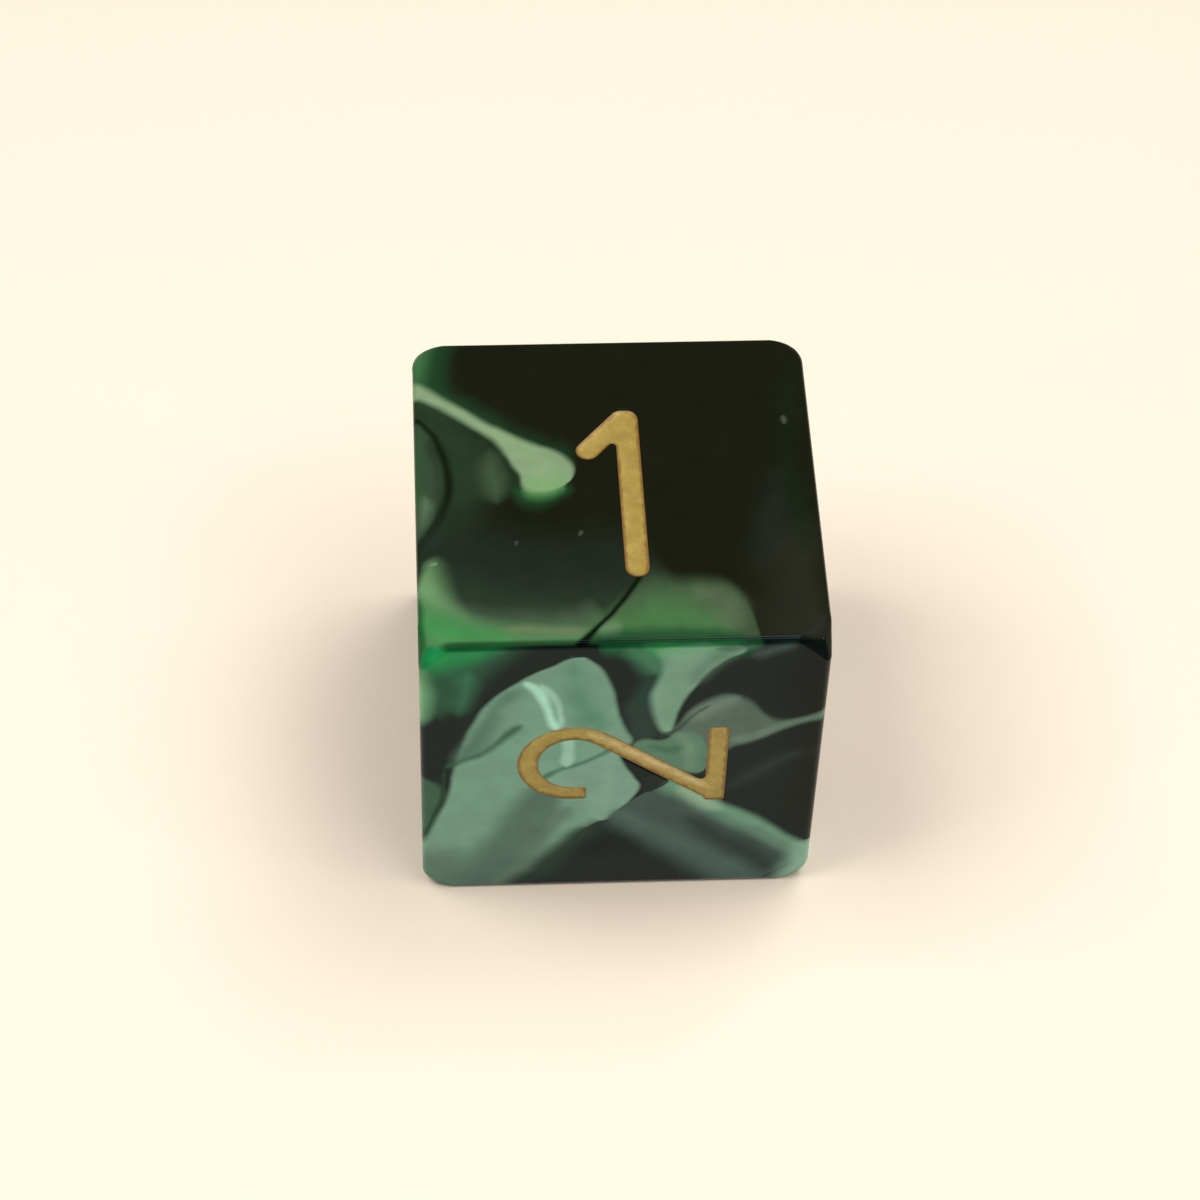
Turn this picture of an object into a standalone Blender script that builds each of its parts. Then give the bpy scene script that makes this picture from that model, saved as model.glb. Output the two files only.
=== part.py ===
"""A moulded resin die, 16 mm across, with a gold numeral from 1 to 6 sunk into each face.

The die stands on its 6 with the 1 on top. Its frame has the origin at the middle of the
underside, +Z up through the 1, and the 2 on the side towards -Y. Opposite faces add up to
seven, and the 1, 2 and 3 run counter-clockwise round the corner that they share.

Numerals are drawn upright on their own face, x to the right and y up, from its middle.
"""

import math

import bmesh
import bpy
from mathutils import Matrix, Vector
from mathutils.geometry import delaunay_2d_cdt

MM = 0.001

# The block.
SIDE = 16.0 * MM  # from face to face
EDGE_ROUND = 0.28 * MM  # radius along the twelve edges
EDGE_STEPS = 4
CORNER_BALL = 13.30 * MM  # radius of the ball that the eight corners are tumbled back to
BALL_SUBDIVISIONS = 6

# The numerals.
STROKE = 0.86 * MM  # width of a groove
STROKE_OF_ONE = 0.94 * MM
STROKE_OF_TWO = 0.82 * MM
GROOVE_DEPTH = 0.50 * MM
PAINT_RECESS = 0.12 * MM  # how far the paint lies below the face
PAINT_GAP = 0.05 * MM  # between the paint and its groove, so that the solids stay apart
CUTTER_REACH = 0.60 * MM  # how far the cutters stand out of the face
ARC_STEP = math.radians(14.0)  # the longest step along a curved stroke
CAP_STEP = math.radians(30.0)  # the longest step round a stroke's end or corner
SMOOTH_TURN = math.radians(20.0)  # a stroke that turns less than this has no corner
MERGE = 0.0001 * MM

TOP_LINE = 3.85 * MM  # the stroke's middle along the top of a numeral
BASE_LINE = -3.84 * MM  # and along its foot

RESIN = (0.035, 0.110, 0.060, 1.0)
GOLD_PAINT = (0.520, 0.350, 0.110, 1.0)


def clear_scene():
    for obj in list(bpy.data.objects):
        bpy.data.objects.remove(obj, do_unlink=True)


def material(name, colour, roughness, metallic):
    made = bpy.data.materials.new(name)
    made.use_nodes = True
    shader = made.node_tree.nodes["Principled BSDF"]
    shader.inputs["Base Color"].default_value = colour
    shader.inputs["Roughness"].default_value = roughness
    shader.inputs["Metallic"].default_value = metallic
    return made


def add_object(name, mesh, parent=None):
    obj = bpy.data.objects.new(name, mesh)
    obj.parent = parent
    bpy.context.scene.collection.objects.link(obj)
    return obj


def make_cutter(obj):
    obj.hide_render = True
    obj.display_type = "WIRE"


# Strokes


def arc(centre, radii, start, end):
    """Points along an ellipse from one angle to another, in degrees, counter-clockwise if end > start."""
    begin, sweep = math.radians(start), math.radians(end - start)
    steps = math.ceil(abs(sweep) / ARC_STEP)
    angles = (begin + sweep * i / steps for i in range(steps + 1))
    middle = Vector(centre) * MM
    return [middle + Vector((radii[0] * math.cos(a), radii[1] * math.sin(a))) * MM for a in angles]


def at(x, y):
    return Vector((x * MM, y * MM))


def numeral_one():
    shoulder = Vector((0.38 * MM, TOP_LINE - 0.20 * MM))
    stem_top = Vector((0.57 * MM, TOP_LINE - 0.20 * MM))
    flag = [at(-1.06, 1.98), shoulder]
    stem = [stem_top, at(0.62, -4.15)]
    return [flag, [shoulder, stem_top], stem]


def numeral_two():
    hook, foot = at(-1.58, 1.36), Vector((-1.90 * MM, BASE_LINE))
    bowl = arc((0.36, 1.90), (1.97, 1.84), 176, -36)
    base = [Vector((-2.30 * MM, BASE_LINE)), Vector((2.56 * MM, BASE_LINE))]
    return [[hook] + bowl + [foot], base]


def numeral_three():
    waist = 0.25
    upper_height, lower_height = 1.78, 2.07
    upper = arc((0.0, waist + upper_height), (1.85, upper_height), 158, -90)
    lower = arc((0.0, waist - lower_height), (2.20, lower_height), 90, -155)
    return [upper, lower]


def numeral_four():
    peak = Vector((0.95 * MM, TOP_LINE))
    elbow = at(-2.35, -1.40)
    slope = [peak, elbow, at(2.45, -1.40)]
    stem = [peak, at(0.95, -4.05)]
    return [slope, stem]


def numeral_five():
    shoulder = Vector((-1.30 * MM, TOP_LINE))
    flag = Vector((2.05 * MM, TOP_LINE))
    bowl = arc((0.0, -1.62), (2.25, 2.28), 133, -148)
    return [[flag, shoulder, bowl[0]], bowl]


def numeral_six():
    centre, radii = (0.05, -1.85), (2.10, 2.05)
    tail_radii = (3.95, 5.90)
    tail_centre = (centre[0] - radii[0] + tail_radii[0], centre[1])
    tail = arc(tail_centre, tail_radii, 102, 180)
    upper = arc(centre, radii, 180, -10)
    lower = arc(centre, radii, -10, -180)
    return [tail, upper, lower]


# Each numeral's strokes, their width, the side of the die it is on, and the way that its top points.
# The 2 has cut ends, and the others have round ones.
NUMERALS = {
    1: {
        "strokes": numeral_one,
        "width": STROKE_OF_ONE,
        "outward": (0, 0, 1),
        "top": (0, 1, 0),
        "round_ends": True,
    },
    2: {
        "strokes": numeral_two,
        "width": STROKE_OF_TWO,
        "outward": (0, -1, 0),
        "top": (-1, 0, 0),
        "round_ends": False,
    },
    3: {
        "strokes": numeral_three,
        "width": STROKE,
        "outward": (1, 0, 0),
        "top": (0, 0, 1),
        "round_ends": True,
    },
    4: {
        "strokes": numeral_four,
        "width": STROKE,
        "outward": (-1, 0, 0),
        "top": (0, 1, 0),
        "round_ends": True,
    },
    5: {
        "strokes": numeral_five,
        "width": STROKE,
        "outward": (0, 1, 0),
        "top": (1, 0, 0),
        "round_ends": True,
    },
    6: {
        "strokes": numeral_six,
        "width": STROKE,
        "outward": (0, 0, -1),
        "top": (0, 1, 0),
        "round_ends": True,
    },
}


# Solid numerals


def turned(vector, angle):
    cosine, sine = math.cos(angle), math.sin(angle)
    return Vector((vector.x * cosine - vector.y * sine, vector.x * sine + vector.y * cosine))


def fan(centre, start, sweep):
    """Points round a centre, from the offset start through an angle."""
    steps = max(1, math.ceil(abs(sweep) / CAP_STEP))
    return [centre + turned(start, sweep * i / steps) for i in range(steps + 1)]


def left_side(points, half):
    """The left edge of a stroke, with each inner corner mitred and each outer corner rounded."""
    ways = [(b - a).normalized() for a, b in zip(points, points[1:])]
    sides = [Vector((-way.y, way.x)) * half for way in ways]
    edge = [points[0] + sides[0]]
    for point, before, after in zip(points[1:], sides, sides[1:]):
        turn = before.angle_signed(after)  # positive to the right
        if turn > SMOOTH_TURN:
            edge += fan(point, before, -turn)
        else:
            mitre = before + after
            edge.append(point + mitre * (2 * half * half / mitre.length_squared))
    edge.append(points[-1] + sides[-1])
    return edge


def stroke_outline(points, half, shrink, round_ends):
    """A counter-clockwise outline round a stroke, whose ends are half discs, or cut and drawn back by shrink."""
    way_in = (points[1] - points[0]).normalized()
    way_out = (points[-1] - points[-2]).normalized()
    middle = list(points)
    if not round_ends:
        middle[0] = points[0] + way_in * shrink
        middle[-1] = points[-1] - way_out * shrink
    outline = left_side(middle, half)
    if round_ends:
        outline += fan(middle[-1], turned(way_out, math.pi / 2) * half, -math.pi)[1:-1]
    outline += left_side(middle[::-1], half)
    if round_ends:
        outline += fan(middle[0], turned(way_in, -math.pi / 2) * half, -math.pi)[1:-1]
    return outline[::-1]


def merged_outlines(outlines):
    """The union of several outlines, as points and triangles in the plane."""
    points, faces = [], []
    for outline in outlines:
        faces.append(list(range(len(points), len(points) + len(outline))))
        points += outline
    found = delaunay_2d_cdt(points, [], faces, 1, MERGE, True)
    corners, triangles, owners = found[0], found[2], found[5]
    return corners, [face for face, owner in zip(triangles, owners) if owner]


def face_frame(outward, top):
    """The matrix from an upright numeral's own plane to its face of the die."""
    outward, top = Vector(outward), Vector(top)
    right = top.cross(outward)
    turn = Matrix((right, top, outward)).transposed().to_4x4()
    middle = Vector((0.0, 0.0, SIDE / 2))
    return Matrix.Translation(middle + outward * SIDE / 2) @ turn


def add_numeral(mesh, number, low, high, shrink):
    """Adds a numeral to a bmesh, as a prism from low to high over its face."""
    plan = NUMERALS[number]
    half = plan["width"] / 2 - shrink
    strokes = plan["strokes"]()
    outlines = [stroke_outline(stroke, half, shrink, plan["round_ends"]) for stroke in strokes]
    corners, triangles = merged_outlines(outlines)
    frame = face_frame(plan["outward"], plan["top"])
    floor = [mesh.verts.new(frame @ Vector((*corner, low))) for corner in corners]
    roof = [mesh.verts.new(frame @ Vector((*corner, high))) for corner in corners]
    rims = {}
    for face in triangles:
        mesh.faces.new([roof[i] for i in face])
        mesh.faces.new([floor[i] for i in reversed(face)])
        for start, end in zip(face, face[1:] + face[:1]):
            rims[start, end] = (end, start) not in rims
            if not rims[start, end]:
                rims[end, start] = False
    for (start, end), outer in rims.items():
        if outer:
            mesh.faces.new([floor[start], floor[end], roof[end], roof[start]])
    for vertex in [v for v in mesh.verts if not v.link_faces]:
        mesh.verts.remove(vertex)


def mesh_from(name, build):
    """A mesh made by a function that fills a bmesh."""
    working = bmesh.new()
    build(working)
    bmesh.ops.recalc_face_normals(working, faces=working.faces)
    mesh = bpy.data.meshes.new(name)
    working.to_mesh(mesh)
    working.free()
    return mesh


# The die's pieces


def corner_ball(parent):
    def build(working):
        bmesh.ops.create_icosphere(working, subdivisions=BALL_SUBDIVISIONS, radius=CORNER_BALL)

    ball = add_object("corner_ball", mesh_from("corner_ball", build), parent)
    ball.location.z = SIDE / 2
    make_cutter(ball)
    return ball


def groove_cutter(parent):
    def build(working):
        for number in NUMERALS:
            add_numeral(working, number, -GROOVE_DEPTH, CUTTER_REACH, 0.0)

    cutter = add_object("groove_cutter", mesh_from("groove_cutter", build), parent)
    make_cutter(cutter)
    return cutter


def cut(body, name, operation, cutter):
    boolean = body.modifiers.new(name, "BOOLEAN")
    boolean.operation = operation
    boolean.solver = "EXACT"
    boolean.object = cutter


def resin_body(parent):
    def build(working):
        bmesh.ops.create_cube(working, size=SIDE)
        bmesh.ops.translate(working, verts=working.verts, vec=(0.0, 0.0, SIDE / 2))

    body = add_object("resin_body", mesh_from("resin_body", build), parent)
    body.data.materials.append(material("swirled_resin", RESIN, 0.10, 0.0))
    edges = body.modifiers.new("rounded_edges", "BEVEL")
    edges.limit_method = "NONE"
    edges.width = EDGE_ROUND
    edges.segments = EDGE_STEPS
    cut(body, "tumbled_corners", "INTERSECT", corner_ball(parent))
    cut(body, "numeral_grooves", "DIFFERENCE", groove_cutter(parent))


def numeral_paint(parent, number, paint):
    def build(working):
        add_numeral(working, number, PAINT_GAP - GROOVE_DEPTH, -PAINT_RECESS, PAINT_GAP)

    name = f"numeral_{number}_paint"
    fill = add_object(name, mesh_from(name, build), parent)
    fill.data.materials.append(paint)


def main():
    clear_scene()
    die = add_object("die", None)
    resin_body(die)
    for number in NUMERALS:
        numeral_paint(die, number, material(f"gold_paint_{number}", GOLD_PAINT, 0.35, 0.3))
    bpy.context.view_layer.update()


main()
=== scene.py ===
"""The looks of the numbered die: its polished block of swirled resin and its gold numerals.

The block and the six paint fills stand for the CAD pieces of the same sizes. Both are worked
out here from the die's side: the block as a cube whose edges are rounded and whose corners
are tumbled back to a ball, and each numeral from the distance to its strokes.
"""

import math
from dataclasses import dataclass

import bpy
import numpy as np
from mathutils import Matrix, Vector, noise
from mathutils.geometry import delaunay_2d_cdt


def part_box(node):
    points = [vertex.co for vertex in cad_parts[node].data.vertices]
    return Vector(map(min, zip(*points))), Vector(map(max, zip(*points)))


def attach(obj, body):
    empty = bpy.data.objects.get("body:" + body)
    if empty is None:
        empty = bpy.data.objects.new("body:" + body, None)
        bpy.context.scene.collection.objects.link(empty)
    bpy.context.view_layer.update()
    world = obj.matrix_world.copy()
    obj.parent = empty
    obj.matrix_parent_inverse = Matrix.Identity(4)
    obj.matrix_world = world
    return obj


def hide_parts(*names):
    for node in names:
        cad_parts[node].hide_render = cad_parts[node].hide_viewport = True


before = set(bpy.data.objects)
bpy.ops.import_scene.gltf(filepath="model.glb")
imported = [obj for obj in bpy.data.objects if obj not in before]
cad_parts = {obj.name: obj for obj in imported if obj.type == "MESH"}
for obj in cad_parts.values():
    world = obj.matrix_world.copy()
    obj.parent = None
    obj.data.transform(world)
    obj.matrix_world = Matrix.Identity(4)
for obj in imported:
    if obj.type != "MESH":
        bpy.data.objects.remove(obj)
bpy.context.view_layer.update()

MM = 0.001

# The block, in millimetres from its middle.
LOW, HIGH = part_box("resin_body")
HALF = (HIGH[0] - LOW[0]) / MM / 2
MIDDLE = (Vector(LOW) + Vector(HIGH)) / 2
EDGE_ROUND = 0.28  # radius along the twelve edges
CORNER_BALL = 13.30  # radius of the ball that the corners are tumbled back to
CREASE_ROUND = 0.30  # radius where the ball meets a face

# The block's mesh: how far each span of grid lines reaches from a face's middle, and its step.
PLATE = 5.4  # half the side of the square that holds a numeral
GRID_SPANS = ((PLATE, 0.60), (6.60, 0.15), (HALF, 0.056))

# The numerals, in millimetres on their own face.
STROKE = 0.86
STROKE_OF_ONE = 0.94
STROKE_OF_TWO = 0.82
GROOVE_DEPTH = 0.50
LIP_ROUND = 0.06  # radius along a groove's upper edge
LIP_ANGLES = (0, 18, 36, 54, 72, 88)  # how far its steps have turned, in degrees
LIP_MARGIN = 0.03  # flat ring kept round the lip
WALL_LEAN = 0.02  # how far a groove's wall leans in from lip to floor
CUT_ROUND = 0.12  # radius at the corners of a cut end
CROTCH_ROUND = 0.13  # radius of the corner between two strokes
GUARD_STEP = 0.05  # between the points along a guard line
RING_STEP = 0.085  # between the points along a ring
RING_ROUNDS = 3  # of moving a ring's points onto their level
FEWEST_POINTS = 6  # in a ring
SEARCH_STEP = 0.06  # of the grid that the rings are found on
SLOPE_STEP = 1e-4  # over which a slope is measured
NO_SLOPE = 1e-12  # a slope is taken to be at least this steep
HALVINGS = 40  # of the distance in which a point of the block is looked for
WELD = 1e-5  # points closer than this are one
WELD_CELL = 10 * WELD
ALL_TRIANGLES = 0  # the triangulation's own code for that

TOP_LINE, BASE_LINE = 3.85, -3.84  # the stroke's middle along a numeral's top and foot

# The paint in a groove.
PAINT_EDGE = -0.052  # height of the paint where it wets the lip
PAINT_MIDDLE = -0.125  # and along the middle of a stroke
PAINT_FLOOR = -0.47
PAINT_CREEP = 0.10  # distance from the wall over which its rise there falls to a third
PAINT_REACH = 0.012  # how far the paint's side stands into the lip
PAINT_RINGS = (-0.03, -0.075, -0.13, -0.20, -0.28, -0.37)  # where its surface has mesh lines
RIPPLES_PER_MM, RIPPLE_HEIGHT = 1.6, 0.012
RIPPLE_SHIFT = 7.3  # from one numeral's ripples to the next one's
PAINT_SLOPE_STEP = 0.004  # over which the slope of its surface is measured

# The resin's swirls.
SPAN = 24.0  # millimetres that a curve node's 0 to 1 stands for
CLOSING = 0.16  # how far the borders of a patch cross beyond its ends, as a share of SPAN
SWIRL_DEPTH = 5.0  # how deep the swirls of the two faces carry on over their edges
FADED = 0.9  # share of that depth at which they have gone
FRONT_RISE = (0.1, 0.6)  # share of the depth under the top in which the front's swirls set in at its sides
EDGE_BLEND = 0.15  # how far the two faces' swirls mix on each side of their edge
WANDER = (1.7, 0.10)  # noise that bends the swirls: its size and reach
DRIFT = (4.0, 3.0, 1.0)  # noise that bends them over the edges: its size, reach and detail
DARKEST = 0.0008  # the lowest albedo
# Painted shade along the edge between the top and the front: its width, its colour and how strong it is.
PAINTED_EDGE_SHADE_WIDTH = 0.36  # width of the darker line along the edge between the two faces
PAINTED_EDGE_SHADE, PAINTED_EDGE_SHADE_STRENGTH = (0.08, 0.22, 0.14, 1.0), 0.85
MOTTLE = (1.1, 3.0, 0.55)  # size, detail and roughness of the noise in its shade
MOTTLE_SHADES = (0.25, 0.75, 0.92, 1.08)  # the noise's lowest and highest value, and their shades
MOTTLE_WANDER = 3.0  # how much more the mottling is bent than the swirls
WORN_LEAST = (0.005, 0.05)  # a corner's rim is duller: the normal's smallest part there
WORN_STEEPEST = (0.66, 0.78)  # and its largest part
RESIN_ROUGHNESS = (0.05, 0.45)  # on a face, and on a corner's rim
RESIN_SPECULAR = (0.12, 0.03)
RESIN_TINT = (0.65, 1.0, 0.90, 1.0)
TOP_FACE = ((1.30, 1.30, 1.30), (0.001, 0.002, 0.002))  # the light on a face, and what it mirrors
FRONT_FACE = ((0.72, 0.665, 0.555), (0.013, 0.016, 0.011))

# The marbling of the rest of the block. A bend is the size, reach and detail of a noise.
COARSE_BEND, FINE_BEND = (11.0, 8.5, 0.5), (3.6, 0.7, 1.0)
DARK, GREY, GREEN = (0.008, 0.011, 0.005, 1.0), (0.030, 0.048, 0.028, 1.0), (0.020, 0.095, 0.032, 1.0)
SAGE, PALE = (0.19, 0.30, 0.17, 1.0), (0.13, 0.24, 0.14, 1.0)
FOLD_WAY, FOLD_SHIFT = (0.075, 0.045, 0.085), 7.62  # folds per millimetre along each axis
FOLD_STOPS = (
    (0.0, SAGE), (0.10, SAGE), (0.17, GREEN), (0.30, DARK), (0.52, DARK), (0.60, GREY), (0.80, DARK),
    (0.990, DARK), (1.0, SAGE),
)
VEIL_WAY, VEIL_SHIFT = (-0.11, 0.06, 0.07), 3.35
VEIL_STOPS = ((0.0, 0.9), (0.06, 0.75), (0.24, 0.0), (0.985, 0.0), (1.0, 0.9))
VEIL_BREAKS, VEIL_BREAKS_SHIFT = (5.0, 1.0), (31.0, 5.0, 12.0)
VEIL_BREAKS_RISE = (0.40, 0.56)
LINE_WAY, LINE_FALL = (0.03, -0.09, 0.08), (0.014, 0.004, 0.0, 0.85)
LINE_COLOUR = (0.006, 0.016, 0.006, 1.0)

# The gold paint's colours. A noise is given by its size, detail and roughness, and a rise by
# the values between which it goes up, and how far it goes.
GOLD, PALE_GOLD = (0.305, 0.200, 0.032, 1.0), (0.380, 0.266, 0.045, 1.0)
GOLD_CLOUD, GOLD_CLOUD_RISE = (0.55, 3.0, 0.6), (0.3, 0.7)
FRONT_PAINT = (1.0 - HALF, 0.9 - HALF)  # the y between which the front's paint starts
# Painted light: the front numeral's paint is made lighter and bluer, to stand in for the light on the
# front face.
FRONT_PAINT_PAINTED_LIGHT = (1.16, 1.32, 1.60, 1.0)
FLAKE_SIZE, FLAKE_WAY = 0.055, (0.6, 0.4, 0.0)
FLAKE_RISE, FLAKE_COLOUR = (0.80, 0.92, 0.0, 0.22), (0.72, 0.55, 0.17, 1.0)
# The painted highlight on the 2: the grain that breaks it up, and its colour.
PAINTED_HIGHLIGHT_GRAIN, PAINTED_HIGHLIGHT_GRAIN_RISE = (0.35, 3.0, 0.7), (0.22, 0.60)
PAINTED_HIGHLIGHT_COLOUR = (0.68, 0.56, 0.27, 1.0)
# The rim along the walls is darker and browner: partly the paint thinning there, partly painted shade from
# the wall.
SHORE_WANDER, SHORE_WANDER_RISE = (0.3, 2.0), (0.3, 0.7, -0.04, 0.04)  # the rim along the walls
SHORE_FALL, THIN_PAINT_AND_SHADE_COLOUR = (0.17, 0.03, 0.0, 0.8), (0.20, 0.085, 0.012, 1.0)
GRAIN, FLAKE_GRAIN = (0.16, 2.0), 0.25  # and how much the flakes add to it
GRAIN_STRENGTH, GRAIN_HEIGHT = 0.5, 0.012
PAINT_ROUGHNESS = (0.4, 0.9, 0.48, 0.34)

# The camera, aimed at the middle of the die, and how far it is then moved in its own directions.
CAMERA_AZIMUTH, CAMERA_ELEVATION, CAMERA_ROLL = -4.51, 50.60, 2.265
CAMERA_PLACE = (-0.450, 0.577, 151.54)
CAMERA_LENS = 109.855

# The lights: name, azimuth, elevation, size and power.
SOFTBOXES = (
    ("left_softbox", -85, 62, 0.15, 0.435),
    ("right_back_softbox", 125, 66, 0.14, 0.30),
    ("right_front_softbox", 50, 62, 0.15, 0.215),
    ("left_lamp", -67.5, 14, 0.010, 0.030),
    ("right_lamp", 72.5, 10, 0.012, 0.050),
)
LIGHT_DISTANCE = 0.26  # metres, as are the lights' sizes and the floor
ROOM_COLOUR = (1.0, 0.98, 1.20, 1.0)
ROOM_STRENGTH = 0.15
FLOOR_COLOUR = (0.90, 0.765, 0.60, 1.0)
FLOOR_HALF = 0.8


# The swirls of the two faces that are seen, in millimetres from the middle of the face, with
# colours as they look on it. Each layer covers the ones before it.


@dataclass
class Patch:
    """A patch between two borders, which are curves of height over a line."""

    turn: float  # of the line, in degrees from the face's u axis
    upper: list
    lower: list
    colour: tuple
    above: float = 0.12  # how wide the upper border is blurred
    below: float = 0.12
    strength: float = 1.0
    ends: float = 0.3  # how far both ends take to close

    def mask(self, graph, spot):
        """1 where the patch covers a spot (u, v, 1), 0 beyond its blurred borders."""
        along, across = graph.on_line(spot, self.turn)
        upper = graph.curve(along, border(self.upper, self.turn, self.ends, -CLOSING))
        lower = graph.curve(along, border(self.lower, self.turn, self.ends, CLOSING))
        above, below = self.above / SPAN / 2, self.below / SPAN / 2
        inside = graph.step(graph.math("SUBTRACT", upper, across), -above, above)
        rise = graph.step(graph.math("SUBTRACT", across, lower), -below, below, 0.0, self.strength)
        return graph.math("MULTIPLY", inside, rise)


@dataclass
class Vein:
    """A streak along a course, which is a curve of height over a line."""

    turn: float  # of the line, in degrees from the face's u axis
    course: list  # of (u, v, width)
    colour: tuple
    soft: float = 0.12  # how wide its borders are blurred
    strength: float = 1.0
    ends: float = 0.4

    def mask(self, graph, spot):
        """1 where the streak covers a spot (u, v, 1), 0 beyond its blurred borders."""
        along, across = graph.on_line(spot, self.turn)
        course = sorted(turned(self.course, self.turn))
        middle = [(s, t) for s, t, _ in course]
        middle = graph.curve(along, [(0.0, middle[0][1]), *middle, (1.0, middle[-1][1])])
        gone, close = 0.5 - self.soft / SPAN, self.ends / SPAN
        widths = [(s, 0.5 + width / SPAN / 2) for s, _, width in course]
        lead, tail = widths[0][0] - close, widths[-1][0] + close
        width = graph.curve(along, [(0.0, gone), (lead, gone), *widths, (tail, gone), (1.0, gone)])
        away = graph.math("ABSOLUTE", graph.math("SUBTRACT", across, middle))
        half = self.soft / SPAN / 2
        shown = graph.math("SUBTRACT", width, away)
        return graph.step(shown, 0.5 - half, 0.5 + half, 0.0, self.strength)


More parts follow.
